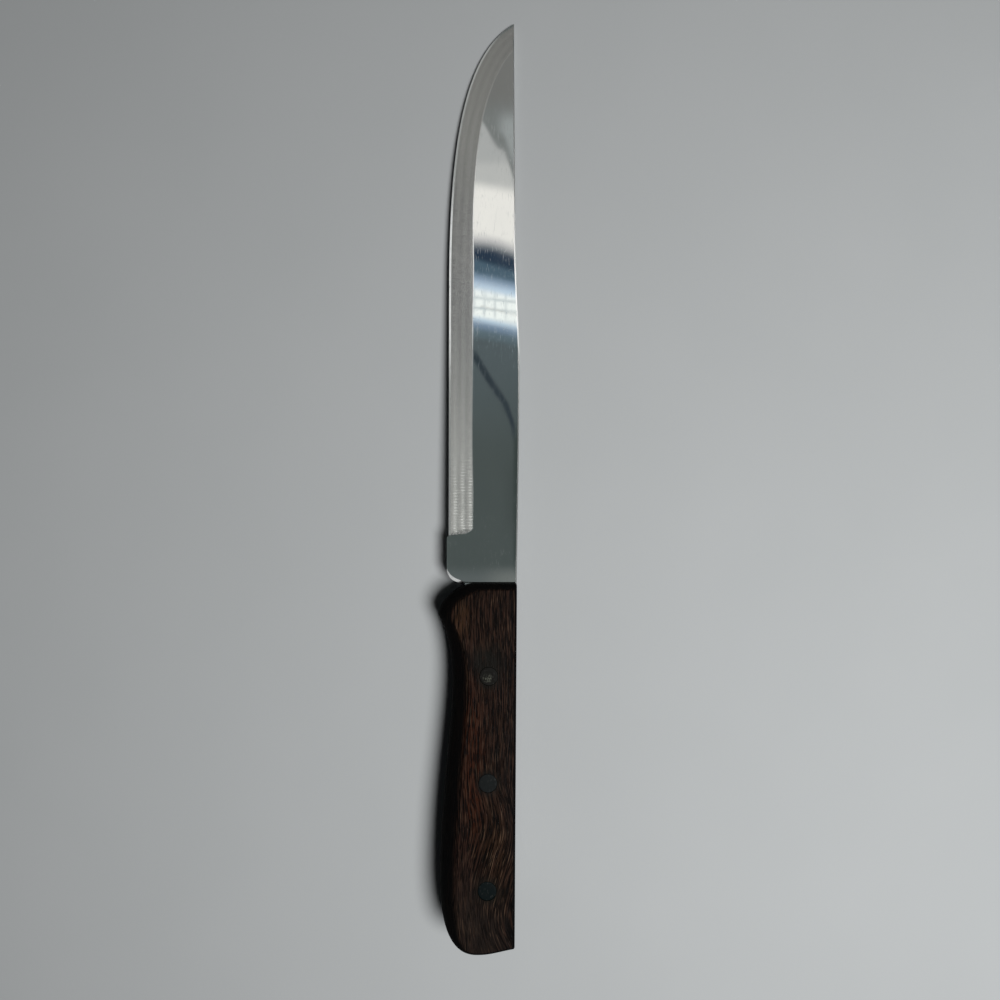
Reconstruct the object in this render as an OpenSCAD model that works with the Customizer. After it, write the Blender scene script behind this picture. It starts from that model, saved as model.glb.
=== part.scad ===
// Carving knife: a ground steel blade with a tang in one piece, a wooden handle slotted along
// its back to take the tang, and three two-part compression rivets that hold the two together.
// The knife lies on its side. The lower handle face is at z = 0, the point is towards +Y and
// the back of the blade is towards +X. The origin is the middle of the outline on that face.

/* [Blade] */
// Length of the blade, from the front of the handle to the point
blade_l = 203; // [160:1:260]
// Height of the blade, from the handle line down to the ground edge
blade_h = 24.25; // [20:0.05:30]
// Thickness of the blade and tang
blade_t = 1.8; // [1.4:0.1:2.4]
// Rise of the blade's back over the handle line, at its crest
back_rise = 1.0; // [0.2:0.1:2]
// Place of that crest, as a share of the blade's length
back_crest = 0.385; // [0.3:0.005:0.45]
// Drop of the back below the handle line, in front of the crest
back_fall = 0.4; // [0:0.1:1.5]
// Place where that drop ends, as a share of the blade's length
back_fall_at = 0.6; // [0.55:0.01:0.7]
// Drop of the point below the handle line
point_drop = 0.8; // [0.3:0.1:4]
// Place where the edge starts to curve up, as a share of the blade's length
belly_from = 0.52; // [0.4:0.01:0.6]
// Angle between the edge and the knife's length at the point
point_angle = 60; // [45:1:70]

/* [Grind] */
// Width of the ground bevel along the straight edge
bevel_w = 8.6; // [5:0.1:11]
// Width of the ground bevel at the point
bevel_point_w = 7.8; // [5:0.1:11]
// Width of the fine honed bevel along the edge
hone_w = 0.7; // [0.3:0.1:1.2]
// Thickness where the honed bevel starts
hone_t = 0.36; // [0.2:0.02:0.5]
// Thickness left at the edge
edge_t = 0.06; // [0.04:0.01:0.12]
// Distance from the handle to the place where the bevel starts to round off
plunge_at = 19.5; // [16:0.1:30]
// Length of that rounded end, which narrows the bevel from its upper border to the edge
plunge_l = 2.6; // [1:0.1:4]
// Length of the ramp at the edge, where the grinding wheel leaves the steel
plunge_run = 0.8; // [0.4:0.1:2]

/* [Heel] */
// Depth of the unground heel below the ground edge
heel_step = 0.6; // [0.2:0.1:1.2]
// Length of the heel's rounded corner
heel_l = 5.6; // [4:0.1:9]
// Width of the chamfer round the heel's corner
heel_chamfer_w = 1.1; // [0.5:0.1:2]
// Depth of that chamfer on each cheek
heel_chamfer_t = 0.4; // [0.1:0.05:0.6]

/* [Tang] */
// Length of the tang inside the handle
tang_l = 114; // [112:0.5:118]
// Height of the tang at the front of the handle
tang_h = 18.4; // [16:0.1:19]
// Height of the tang at its end
tang_end_h = 15; // [14:0.1:16]
// Radius of the tang's lower end corner
tang_r = 6; // [3:0.5:8]

/* [Handle] */
// Length of the handle
handle_l = 127; // [125:0.5:135]
// Thickness of the handle
handle_t = 14.5; // [12:0.1:18]
// Height of the handle at the finger guard
guard_h = 27.7; // [26.5:0.1:30]
// Distance from the front to the guard's crest
guard_at = 10.8; // [9:0.1:13]
// Height of the handle at its waist
waist_h = 22.8; // [21:0.1:24]
// Distance from the front to the waist
waist_at = 34.5; // [32:0.5:38]
// Height of the handle at the swell
swell_h = 27; // [25:0.1:28]
// Distance from the front to the swell
swell_at = 103; // [96:0.5:106]
// Drop of the handle's back towards the butt
back_slope_drop = 0.9; // [0:0.1:2]
// Distance that the butt leans, from its lowest point up to the back
butt_lean = 2.1; // [1:0.1:4]
// Height at which the butt reaches furthest back
butt_low_h = 13.5; // [11:0.1:16]

/* [Rounding] */
// Width of the round-over along the belly, at the guard
round_guard = 5.3; // [4:0.1:6]
// Width of the round-over along the belly, at the waist
round_waist = 6.2; // [5:0.1:7]
// Width of the round-over along the belly, at the swell
round_swell = 6.3; // [5:0.1:7]
// Width of the round-over at the front
round_front = 2.3; // [1.5:0.1:3]
// Width of the eased corner along the back
round_back = 0.9; // [0.5:0.1:1.5]
// Width of the eased corner round the butt
round_butt = 1.1; // [0.6:0.1:1.5]

/* [Rivets] */
// Diameter of a rivet head
head_d = 6.4; // [5:0.1:8]
// Thickness of a rivet head
head_t = 1.6; // [1:0.1:2.2]
// Outer diameter of the tube half
tube_d = 4; // [3.4:0.1:4.4]
// Diameter of the post half
post_d = 2.9; // [2:0.1:3]
// Distance of the rivets below the handle's back
rivet_drop = 9.6; // [8.5:0.1:11]
// Distance from the front to the first rivet
rivet_first = 31.8; // [28:0.1:34]
// Distance between rivets
rivet_pitch = 36.6; // [34:0.1:37]

/* [Hidden] */
$fn = 64;

// Middle plane of the handle, which is also the middle of the blade
mid_z = handle_t / 2;
// The outline is drawn from the handle's upper front corner and then centred on the origin
top_x = back_rise;
low_x = -max(guard_h, swell_h, blade_h + heel_step);
shift = [-(top_x + low_x) / 2, -(blade_l - handle_l) / 2, 0];

// Fixed lengths, in millimetres
cutter_margin = 1;
fit_clearance = 0.03;
head_gap = 0.06;
head_ease = 0.15;
post_end_gap = 0.4;
corner_r = 0.6;
land_half = 0.5;
// Width that is left of the ground bevel, past the honed one, where its end meets the edge
plunge_left_w = 0.4;

// Fixed shares: pull of the curve handles on each stretch, and where the bevel has narrowed
point_pull_share = 0.113;
belly_pull_share = 0.23;
back_pull_share = 0.15;
crest_pull_share = 0.3;
heel_pull_share = 0.5;
heel_rise_share = 0.15;
tang_pull_share = 0.45;
narrow_share = 0.4;
// Step along a curve's parameter over which its direction is taken
way_step = 0.01;
// The width of the heel's chamfer follows a sine between these angles, from the handle
heel_fade = [18, 190];
// Height of the handle's round-over for each millimetre of its width
round_rise = 1.15;

// Curve steps along each stretch
belly_steps = [3, 9, 12, 12, 16];
back_steps = [3, 4, 29, 3, 13];
edge_steps = 30;
back_curve_steps = 10;
heel_steps = 8;
tang_steps = 6;
round_steps = 6;
// The round-over stops short of a quarter turn, which leaves a crisp line round the face
round_sweep = 74;

// Point of a cubic curve with control points c, for any number of coordinates
function cubic(c, t) =
    pow(1 - t, 3) * c[0] + 3 * pow(1 - t, 2) * t * c[1]
    + 3 * (1 - t) * t * t * c[2] + pow(t, 3) * c[3];
function cubic_points(c, n) = [for (i = [0:n]) cubic(c, i / n)];
function unit(v) = v / norm(v);
function lerp(a, b, t) = a + (b - a) * t;
function but_last(v) = [for (i = [0:len(v) - 2]) v[i]];
function reversed(v) = [for (i = [len(v) - 1:-1:0]) v[i]];

// Faces of a closed skin over rings of m points each, without its two ends
function skin_faces(rings, m) = [
    for (r = [0:rings - 2], i = [0:m - 1])
        let (a = r * m + i, b = r * m + (i + 1) % m)
            each [[a, b, b + m], [a, b + m, a + m]]
];
// Ends of a skin whose rings are convex
function fan(first, m, flip) = [
    for (i = [1:m - 2])
        flip ? [first, first + i + 1, first + i] : [first, first + i, first + i + 1]
];

// Blade outline
heel_x = -blade_h - heel_step;
plunge_foot = plunge_at - plunge_l;
point = [-point_drop, blade_l];
belly_y = belly_from * blade_l;
edge_curve = [
    [-blade_h, belly_y],
    [-blade_h, belly_y + belly_pull_share * blade_l],
    point - point_pull_share * blade_l * [sin(point_angle), cos(point_angle)],
    point
];
crest = [back_rise, back_crest * blade_l];
crest_pull = [0, crest_pull_share * (back_fall_at - back_crest) * blade_l];
fall = [-back_fall, back_fall_at * blade_l];
fall_pull = [0, back_pull_share * blade_l];
back_curves = [
    [[0, 0], [back_rise / 2, crest.y / 3], [back_rise, 2 * crest.y / 3], crest],
    [crest, crest + crest_pull, fall - crest_pull, fall],
    [fall, fall + fall_pull, point - fall_pull, point]
];
heel_curve = [
    [-tang_h, 0],
    [lerp(-tang_h, heel_x, heel_pull_share), 0],
    [heel_x, heel_rise_share * heel_l],
    [heel_x, heel_l]
];
edge_points = cubic_points(edge_curve, edge_steps);
back_points = [for (c = back_curves) each but_last(cubic_points(c, back_curve_steps))];
heel_points = cubic_points(heel_curve, heel_steps);

// Height of the handle's back at a distance s behind the front
function back_x(s) = -back_slope_drop * s / (handle_l - butt_lean);
tang_end = [back_x(tang_l), -tang_l];
tang_corner = [tang_end.x - tang_end_h, -tang_l];
tang_slope = unit([-tang_h, 0] - tang_corner);
tang_curve = [
    tang_corner + [tang_r, 0],
    tang_corner + [tang_pull_share * tang_r, 0],
    tang_corner + tang_pull_share * tang_r * tang_slope,
    tang_corner + tang_r * tang_slope
];
tang_points = cubic_points(tang_curve, tang_steps);

module blade_outline() {
    polygon(concat(
        back_points,
        reversed(edge_points),
        [[-blade_h, plunge_foot], [heel_x, plunge_foot - plunge_run]],
        reversed(heel_points),
        reversed(tang_points),
        [tang_end]
    ));
}

// Cutter for one cheek's ground bevel: a strip that follows the edge, each section being
// below the honed bevel, at its top, past the grind line, and above it outside the edge.
// Its first section is lifted clear of the steel, which leaves the ramp at the edge.
function edge_normal(t) =
    let (d = cubic(edge_curve, min(t + way_step, 1)) - cubic(edge_curve, max(t - way_step, 0)))
        unit([d.y, -d.x]);
hone_slope = (hone_t - edge_t) / 2 / hone_w;
function bevel_section(p, n, w, lift) =
    let (
        out = p - cutter_margin * n,
        inner = p + (w + cutter_margin) * n,
        steep = (blade_t - hone_t) / 2 / (w - hone_w)
    ) [
        [out.x, out.y, edge_t / 2 - hone_slope * cutter_margin + lift],
        [p.x + hone_w * n.x, p.y + hone_w * n.y, hone_t / 2 + lift],
        [inner.x, inner.y, blade_t / 2 + steep * cutter_margin + lift],
        [out.x, out.y, 3 * blade_t + lift]
    ];
function plunge_section(a, run, lift) =
    bevel_section([-blade_h, plunge_at - plunge_l * sin(a) - run], [1, 0],
        lerp(hone_w + plunge_left_w, bevel_w, cos(a)), lift);
function belly_section(t) =
    bevel_section(cubic(edge_curve, t), edge_normal(t),
        lerp(bevel_w, bevel_point_w, min(t / narrow_share, 1)), 0);
bevel_sections = concat(
    [plunge_section(90, plunge_run, blade_t)],
    [for (a = [90:-10:0]) plunge_section(a, 0, 0)],
    [for (i = [0:edge_steps]) belly_section(i / edge_steps)],
    [let (n = edge_normal(1))
        bevel_section(point + 2 * cutter_margin * [-n.y, n.x], n, bevel_point_w, 0)]
);

module strip_cutter(sections) {
    m = len(sections[0]);
    polyhedron(
        points = [for (s = sections) each s],
        faces = concat(
            skin_faces(len(sections), m),
            fan(0, m, true),
            fan((len(sections) - 1) * m, m, false)
        )
    );
}

// Cutter for the chamfer round the heel's corner, which fades out towards the edge
function heel_section(i) =
    let (
        t = i / heel_steps,
        d = cubic(heel_curve, min(t + way_step, 1)) - cubic(heel_curve, max(t - way_step, 0)),
        n = unit([d.y, -d.x]),
        w = heel_chamfer_w * sin(lerp(heel_fade[0], heel_fade[1], t)),
        slope = heel_chamfer_t / heel_chamfer_w,
        p = heel_points[i],
        out = p - cutter_margin * n,
        inner = p + (w + cutter_margin) * n
    ) [
        [out.x, out.y, blade_t / 2 - slope * (w + cutter_margin)],
        [inner.x, inner.y, blade_t / 2 + slope * cutter_margin],
        [out.x, out.y, 2 * blade_t]
    ];
heel_sections = [for (i = [0:heel_steps]) heel_section(i)];

// Round-over of the handle: each control point is x, y and the inset to the face's border
// along x and y, so that one set of curves gives both the silhouette and the flat face.
// The belly runs from the tang's lower front corner to the butt, and the top from the back's
// front corner to the butt.
front_low = [-14, 0, 0.3, -round_front - 0.5];
guard = [-guard_h, -guard_at, round_guard, -0.5];
waist = [-waist_h, -waist_at, round_waist, 0];
swell = [-swell_h, -swell_at, round_swell, 0];
butt = [-butt_low_h, -handle_l, -0.2, round_butt];
belly_curves = [
    [[-9, 0, 0, -round_front], [-11, 0, 0, -round_front], [-12.5, 0, 0, -round_front], front_low],
    [front_low, [-20.5, 0, 3, -4.4], guard + [0, 4.8, 0, 0.2], guard],
    [guard, guard + [0, -1.8, 0, -0.8], waist + [0, 16.5, 0, -3.6], waist],
    [waist, waist + [0, -18, 0, 0.2], swell + [0, 30, 0, -0.5], swell],
    [swell, swell + [0, -21.3, 0, 3.7], butt - [7.5, 0, -1.1, 0], butt]
];
back_end = [back_x(handle_l - butt_lean), butt_lean - handle_l];
corner = corner_r * [-1, -1];
top_curves = [
    [
        [corner.x, 0, -corner_r, -round_front], [corner.x / 2, 0, -corner_r, -round_front],
        [0, corner.y / 2, -round_back, -2], [0, corner.y, -round_back, -1.9]
    ],
    [
        [0, corner.y, -round_back, -1.9], [back_x(2), -2, -round_back, -1.2],
        [back_x(3.5), -3.5, -round_back, 0], [back_x(5), -5, -round_back, 0]
    ],
    [for (t = [0, 1 / 3, 2 / 3, 1])
        let (s = lerp(5, handle_l - butt_lean - corner_r, t)) [back_x(s), -s, -round_back, 0]],
    [
        [back_end.x, back_end.y + corner_r, -round_back, 0],
        [back_end.x, back_end.y + corner_r / 2, -round_back, 0.4],
        [back_end.x - corner_r / 2, back_end.y, -0.5, round_back],
        [back_end.x - corner_r, back_end.y - 0.05, -0.2, round_back]
    ],
    [
        [back_end.x - corner_r, back_end.y - 0.05, -0.2, round_back],
        [back_end.x - 4.5, back_end.y - 0.8, -0.2, round_butt],
        butt + [4.5, 0, 0, 0], butt
    ]
];
function chain(curves, steps) = concat(
    [for (k = [0:len(curves) - 1]) each but_last(cubic_points(curves[k], steps[k]))],
    [curves[len(curves) - 1][3]]
);
belly_chain = chain(belly_curves, belly_steps);
back_chain = but_last(chain(top_curves, back_steps));
handle_ring = concat(belly_chain, reversed(back_chain));

// Height that the round-over takes up on one side of the middle land
function round_h(p) = min(mid_z - land_half, round_rise * norm([p[2], p[3]]));
function handle_level(a, side) = [
    for (p = handle_ring)
        let (
            in = (1 - cos(a)) / (1 - cos(round_sweep)),
            up = sin(a) / sin(round_sweep),
            h = round_h(p),
            z = mid_z - h + h * up
        ) [p[0] + in * p[2], p[1] + in * p[3], mid_z + side * z]
];
round_angles = [for (k = [0:round_steps]) round_sweep * k / round_steps];
handle_levels = concat(
    [for (a = reversed(round_angles)) handle_level(a, 1)],
    [for (a = round_angles) handle_level(a, -1)]
);

// Flat face as a band of triangles between the belly chain and the back chain
function face_band(first, flip) =
    let (
        n = len(belly_chain),
        m = len(handle_ring),
        tris = concat(
            [for (i = [0:n - 3])
                let (a = m - 1 - i, b = i)
                    each [[a, b, b + 1], [a, b + 1, a - 1]]],
            [[n, n - 2, n - 1]]
        )
    ) [for (t = tris) flip ? [for (v = reversed(t)) first + v] : [for (v = t) first + v]];

module handle_body() {
    m = len(handle_ring);
    rings = len(handle_levels);
    polyhedron(
        points = [for (l = handle_levels) each l],
        faces = concat(
            skin_faces(rings, m),
            face_band(0, true),
            face_band((rings - 1) * m, false)
        )
    );
}

// Slot for the tang, open along the back and at the front of the handle
module tang_slot() {
    open = 3;
    translate([0, 0, mid_z - blade_t / 2])
        linear_extrude(blade_t)
            polygon(concat(
                [[-tang_h, 0], [-tang_h, open], [open, open], [open, -tang_l]],
                tang_points
            ));
}

// Rivet places, from the front
function rivet_place(i) =
    let (s = rivet_first + i * rivet_pitch) [back_x(s) - rivet_drop, -s, 0];

module rivet_bore() {
    translate([0, 0, -cutter_margin])
        cylinder(d = tube_d + 2 * fit_clearance, h = handle_t + 2 * cutter_margin);
    translate([0, 0, -cutter_margin])
        cylinder(d = head_d + 2 * head_gap, h = head_t + cutter_margin);
    translate([0, 0, handle_t - head_t])
        cylinder(d = head_d + 2 * head_gap, h = head_t + cutter_margin);
}

module blade() {
    color("silver")
        translate(shift)
            difference() {
                translate([0, 0, mid_z - blade_t / 2])
                    linear_extrude(blade_t)
                        blade_outline();
                for (side = [0, 1])
                    translate([0, 0, mid_z])
                        mirror([0, 0, side]) {
                            strip_cutter(bevel_sections);
                            strip_cutter(heel_sections);
                        }
                for (i = [0:2])
                    translate(rivet_place(i))
                        cylinder(d = tube_d + 4 * fit_clearance, h = handle_t);
            }
}

module handle() {
    color([0.16, 0.1, 0.07])
        translate(shift)
            difference() {
                handle_body();
                tang_slot();
                for (i = [0:2])
                    translate(rivet_place(i))
                        rivet_bore();
            }
}

// Post half of a rivet: its head is in the upper face and its post is pressed into the tube
module rivet_post(i) {
    post_low = head_t + post_end_gap;
    color([0.3, 0.34, 0.33])
        translate(shift + rivet_place(i))
            rotate_extrude()
                polygon([
                    [0, post_low],
                    [post_d / 2 - head_ease, post_low],
                    [post_d / 2, post_low + head_ease],
                    [post_d / 2, handle_t - head_t],
                    [head_d / 2, handle_t - head_t],
                    [head_d / 2, handle_t - head_ease],
                    [head_d / 2 - head_ease, handle_t],
                    [0, handle_t]
                ]);
}

// Tube half of a rivet: its head is in the lower face and its tube runs up to the post's head
module rivet_tube(i) {
    bore_r = post_d / 2 + fit_clearance;
    tube_top = handle_t - head_t - post_end_gap;
    color([0.3, 0.34, 0.33])
        translate(shift + rivet_place(i))
            rotate_extrude()
                polygon([
                    [0, 0],
                    [head_d / 2 - head_ease, 0],
                    [head_d / 2, head_ease],
                    [head_d / 2, head_t],
                    [tube_d / 2, head_t],
                    [tube_d / 2, tube_top],
                    [bore_r, tube_top],
                    [bore_r, head_t],
                    [0, head_t]
                ]);
}

module front_rivet_post() { rivet_post(0); }
module front_rivet_tube() { rivet_tube(0); }
module middle_rivet_post() { rivet_post(1); }
module middle_rivet_tube() { rivet_tube(1); }
module rear_rivet_post() { rivet_post(2); }
module rear_rivet_tube() { rivet_tube(2); }

blade();
handle();
front_rivet_post();
front_rivet_tube();
middle_rivet_post();
middle_rivet_tube();
rear_rivet_post();
rear_rivet_tube();
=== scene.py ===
import math

import bmesh
import bpy
import numpy as np
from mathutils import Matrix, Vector, geometry


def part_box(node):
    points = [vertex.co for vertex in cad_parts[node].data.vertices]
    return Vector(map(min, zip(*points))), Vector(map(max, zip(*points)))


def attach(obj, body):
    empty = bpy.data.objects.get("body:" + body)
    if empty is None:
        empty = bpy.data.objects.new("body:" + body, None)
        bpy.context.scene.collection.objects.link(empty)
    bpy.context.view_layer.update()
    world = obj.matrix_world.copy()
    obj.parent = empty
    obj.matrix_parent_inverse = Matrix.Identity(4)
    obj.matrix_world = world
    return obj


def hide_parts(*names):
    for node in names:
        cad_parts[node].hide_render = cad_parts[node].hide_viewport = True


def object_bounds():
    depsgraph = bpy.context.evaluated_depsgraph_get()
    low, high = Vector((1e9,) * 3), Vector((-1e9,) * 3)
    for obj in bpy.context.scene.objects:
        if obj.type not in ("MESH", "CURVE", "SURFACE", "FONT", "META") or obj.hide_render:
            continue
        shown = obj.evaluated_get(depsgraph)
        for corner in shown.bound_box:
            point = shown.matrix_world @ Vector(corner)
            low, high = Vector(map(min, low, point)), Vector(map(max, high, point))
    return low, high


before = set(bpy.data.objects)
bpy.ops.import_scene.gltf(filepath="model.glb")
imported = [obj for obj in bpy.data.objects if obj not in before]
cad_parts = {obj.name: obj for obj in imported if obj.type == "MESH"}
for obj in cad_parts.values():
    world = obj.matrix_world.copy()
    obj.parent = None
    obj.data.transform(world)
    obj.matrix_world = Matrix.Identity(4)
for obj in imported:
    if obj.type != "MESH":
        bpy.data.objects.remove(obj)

# Lengths are millimetres in the drawing's own axes: x = 0 is the handle's back, y = 0 its front,
# +y runs to the point and +x away from the edge. at() turns them into metres in the row frame.
cad_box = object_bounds()
MM = 0.001
blade_low, blade_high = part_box("blade")
handle_low, handle_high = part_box("handle")
DATUM = Vector((handle_high.x, handle_high.y, 0)) / MM
BLADE_L = blade_high.y / MM - DATUM.y
BLADE_T = (blade_high.z - blade_low.z) / MM
HANDLE_L = (handle_high.y - handle_low.y) / MM
HANDLE_T = handle_high.z / MM
GUARD_H = (handle_high.x - handle_low.x) / MM
MID_Z = HANDLE_T / 2

# Blade outline: the back rises to a crest and falls to the point, and the belly curves up to it.
# A pull is how far the control point of a curve lies from the curve's end.
BLADE_H = 24.25
BACK_RISE = 1.0
CREST_AT = 0.385 * BLADE_L
FALL_AT = 0.6 * BLADE_L
FALL = 0.4
FALL_PULL = 0.3 * (FALL_AT - CREST_AT)
BACK_PULL = 0.15 * BLADE_L
POINT = np.array([-0.8, BLADE_L])
BELLY_FROM = 0.52 * BLADE_L
BELLY_PULL = 0.23 * BLADE_L
POINT_PULL = 0.113 * BLADE_L
POINT_ANGLE = math.radians(60)
HEEL_X = blade_low.x / MM - DATUM.x
HEEL_L = 5.6
HEEL_PULL = 0.15 * HEEL_L
TANG_H = 18.4
TANG_END_H = 15.0
TANG_R = 6.0
TANG_R_PULL = 0.45 * TANG_R
TANG_L = -(blade_low.y / MM - DATUM.y)

# Grind: a bevel with a wavering crest and a honed strip, from the plunge to the point. The heel
# below the plunge has a chamfer that fades as a sine does, from CHAMFER_START degrees on.
BEVEL_W = 8.6
BEVEL_POINT_W = 7.8
NARROW_TO = 0.77 * BLADE_L
BEVEL_WANDER = 0.22
WANDER_RISE = 12
BEVEL_LINES = [0.1, 0.3, 0.5, 0.7, 0.9]
CREST_W = 0.15
HONE_W = 0.7
HONE_T = 0.36
EDGE_T = 0.06
PLUNGE_AT = 19.5
PLUNGE_L = 2.6
PLUNGE_FOOT = PLUNGE_AT - PLUNGE_L
PLUNGE_RUN = 0.8
PLUNGE_LEFT_W = HONE_W + 0.4
BACK_EASE = 0.45
HEEL_CHAMFER_W = 1.1
HEEL_CHAMFER_T = 0.4
CHAMFER_START = 18
CHAMFER_SWEEP = 172
CHAMFER_LINES = [0.5, 1.0]
BLADE_CREASE = math.radians(2)

# Marks of the grinding: the first lengthwise track, how far apart tracks and ticks lie, and how
# far the underside's pattern lies from the upper one. Then the blade's finishes in their order.
TRACK_FROM = 1.9
TRACK_PITCH = 2.8
TICK_PITCH = 1.05
UNDERSIDE_SHIFT = 40
CHEEK, BEVEL, HONED, RIM = range(4)

# Fineness of the blade's curves. Points that lie nearer than SAME_PLACE become one.
PLUNGE_STEP = 7.5
EDGE_STEP = 1.5
EDGE_RUN_ON = 2.5
BELLY_POINTS = 91
HEEL_POINTS = 25
CORNER_POINTS = 9
BLADE_BACK_STEPS = [36, 24, 40]
SAME_PLACE = 1e-5

# Handle: ROUND_ values are how wide its round-over is at each place. It is ROUND_DEPTH times as
# deep as wide, but leaves ROUND_REST of each half of the thickness.
GUARD_AT = 10.8
WAIST = (22.8, 34.5)
SWELL = (27.0, 103.0)
BACK_DROP = 0.9
BUTT_LEAN = 2.1
BUTT_LOW_H = 13.5
ROUND_GUARD, ROUND_WAIST, ROUND_SWELL = 5.3, 6.2, 6.3
ROUND_FRONT, ROUND_BACK, ROUND_BUTT = 2.3, 0.9, 1.1
CORNER_R = 0.6
ROUND_SWEEP = math.radians(74)
ROUND_STEPS = 12
ROUND_DEPTH = 1.15
ROUND_REST = 0.5
HANDLE_BELLY_STEPS = [6, 34, 30, 36, 44]
HANDLE_BACK_STEPS = [6, 8, 70, 6, 28]
HANDLE_CREASE = math.radians(28)
SLOT_OVER = 3
CUT_OVER = 1
FLAT_NORMAL = 0.99999

# Rivets: a tube from one side takes the pin of a post from the other, and each has a head. The
# rooms are the gaps between pieces that fit together.
RIVET_NAMES = ["front", "middle", "rear"]
HEAD_T = 1.6
HEAD_EASE = 0.22
HEAD_BOW = 0.03
TUBE_R = 2.0
POST_R = 1.45
POST_TIP = 0.15
POST_ROOM = 0.03
END_ROOM = 0.4
HEAD_ROOM = 0.07
WOOD_BORE_R = 2.03
TANG_BORE_R = 2.06
RIVET_CREASE = math.radians(40)

# Colours of the wood, and the painted shade of its round-over
FIGURE_DARK = (0.0021, 0.0010, 0.0007)
FIGURE_PALE = (0.0096, 0.0041, 0.0023)
FIBRE_DARK = (0.0012, 0.0008, 0.0007)
FIBRE_PALE = (0.030, 0.016, 0.010)
HAIR_TONE = (0.040, 0.0195, 0.013)
FLECK_AND_GLINT_TONE = (0.105, 0.066, 0.042)
PORE_TONE = (0.0016, 0.0012, 0.0011)
GRIME_TONE = (0.0064, 0.0060, 0.0049)
ROUND_SHADE_TONE = (0.0014, 0.0014, 0.0015)

# Patches of the wood: centre, half size, share and colour of each
# The greyish patches round the butt, near y of -112 to -125, are painted sheen as well as wear.
WOOD_PATCHES = [
    ((-19, -12.5), (4, 10), 0.6, (0.045, 0.022, 0.009)),
    ((-11, -16), (9, 16), 0.5, (0.014, 0.0055, 0.0030)),
    ((-15, -60), (5.5, 40), 0.8, (0.032, 0.0078, 0.0026)),
    ((-19, -98), (5, 22), 0.6, (0.022, 0.0090, 0.0070)),
    ((-7, -92), (7, 26), 0.55, (0.020, 0.0095, 0.0042)),
    ((-2, -72), (4, 40), 0.5, (0.0060, 0.0042, 0.0042)),
    ((-10, -125), (16, 22), 0.75, (0.0125, 0.0095, 0.0082)),
    ((-2, -120), (4, 22), 0.8, (0.0034, 0.0031, 0.0033)),
    ((-9, -113), (13, 20), 0.45, (0.0098, 0.0074, 0.0062)),
    ((-1.4, -114), (1.8, 15), 0.8, (0.0014, 0.0011, 0.0010)),
    ((-10, -44), (7, 14), 0.35, (0.0150, 0.0048, 0.0022)),
    ((-8, -13), (13, 11), 0.6, (0.0060, 0.0024, 0.0016)),
    ((-18, -112), (7, 26), 0.7, (0.0155, 0.0112, 0.0092)),
]

# Camera, in metres: its height above the floor, the floor point under it, and its field of view
CAMERA_HEIGHT = 0.2816
CAMERA_OVER = (0.00743, -0.00836)
CAMERA_FOV = math.radians(66)
CAMERA_SENSOR = 36

# Floor, in metres. It is level under the camera, so it tilts here: the knife lies on it with the
# handle's front and the blade's point.
FLOOR_TILT = math.atan2(blade_low.z, (BLADE_L + ROUND_FRONT) * MM)
FLOOR_UP = Vector((0, -math.sin(FLOOR_TILT), math.cos(FLOOR_TILT)))
FLOOR_HALF = 0.5
FLOOR_DROP = 0.00002
TILT_LINE_Y = (DATUM.y - ROUND_FRONT) * MM

# Lamp: azimuth and elevation from the knife's middle in degrees, distance and width in metres
LAMP_WAY = (-36, 60)
LAMP_FAR = 0.72
LAMP_SIZE = 0.36
LAMP_ENERGY = 5.9
LAMP_COLOUR = (1.0, 0.995, 0.985)


def at(x, y, z):
    """A place of the drawing as metres in the row frame."""
    return ((DATUM.x + x) * MM, (DATUM.y + y) * MM, z * MM)


def cubic(control, shares):
    """Points of a cubic curve with four control points, at the given shares of it."""
    a, b, c, d = np.asarray(control, float)
    t = np.asarray(shares, float)[:, None]
    return (1 - t) ** 3 * a + 3 * (1 - t) ** 2 * t * b + 3 * (1 - t) * t**2 * c + t**3 * d


def chain(curves, steps):
    """Points of cubic curves that follow each other, each in its own number of steps."""
    parts = [cubic(curve, np.arange(n) / n) for curve, n in zip(curves, steps)]
    return np.vstack(parts + [np.asarray(curves[-1][3], float)[None]])


def smoothstep(low, high, value):
    """0 at low, 1 at high and smooth between them. The low end may be the greater one."""
    t = np.clip((np.asarray(value, float) - low) / (high - low), 0, 1)
    return t * t * (3 - 2 * t)


def wander(value, seed):
    """A slow wave between about -1 and 1 along a length in millimetres."""
    return 0.6 * np.sin(value / 17 + seed) + 0.4 * np.sin(value / 6.3 + 2.7 * seed)


def left_normals(path):
    """Unit vectors to the left of a path's way, one at each of its points."""
    way = np.gradient(path, axis=0)
    left = np.stack([-way[:, 1], way[:, 0]], 1)
    return left / np.linalg.norm(way, axis=1)[:, None]


def nearest(points, path):
    """Distance from each point to a polyline, and how far along the polyline that is."""
    a, b = path[:-1], path[1:]
    step = b - a
    length = np.linalg.norm(step, axis=1)
    start = np.concatenate([[0], np.cumsum(length)[:-1]])
    t = np.einsum("pkc,kc->pk", points[:, None] - a[None], step) / length**2
    t = np.clip(t, 0, 1)
    foot = a[None] + t[..., None] * step[None]
    gap = np.linalg.norm(points[:, None] - foot, axis=2)
    k = gap.argmin(1)
    rows = np.arange(len(points))
    return gap[rows, k], start[k] + t[rows, k] * length[k]


def inside(points, polygon):
    """True for each point that lies in the closed polygon."""
    x, y = points[:, :1], points[:, 1:]
    x0, y0 = polygon[:, 0], polygon[:, 1]
    x1, y1 = np.roll(x0, -1), np.roll(y0, -1)
    rise = np.where(y1 == y0, 1, y1 - y0)
    crosses = ((y0 > y) != (y1 > y)) & (x < (x1 - x0) * (y - y0) / rise + x0)
    return crosses.sum(1) % 2 == 1


def new_object(name, data):
    """A new object in the scene."""
    made = bpy.data.objects.new(name, data)
    bpy.context.scene.collection.objects.link(made)
    return made


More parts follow.
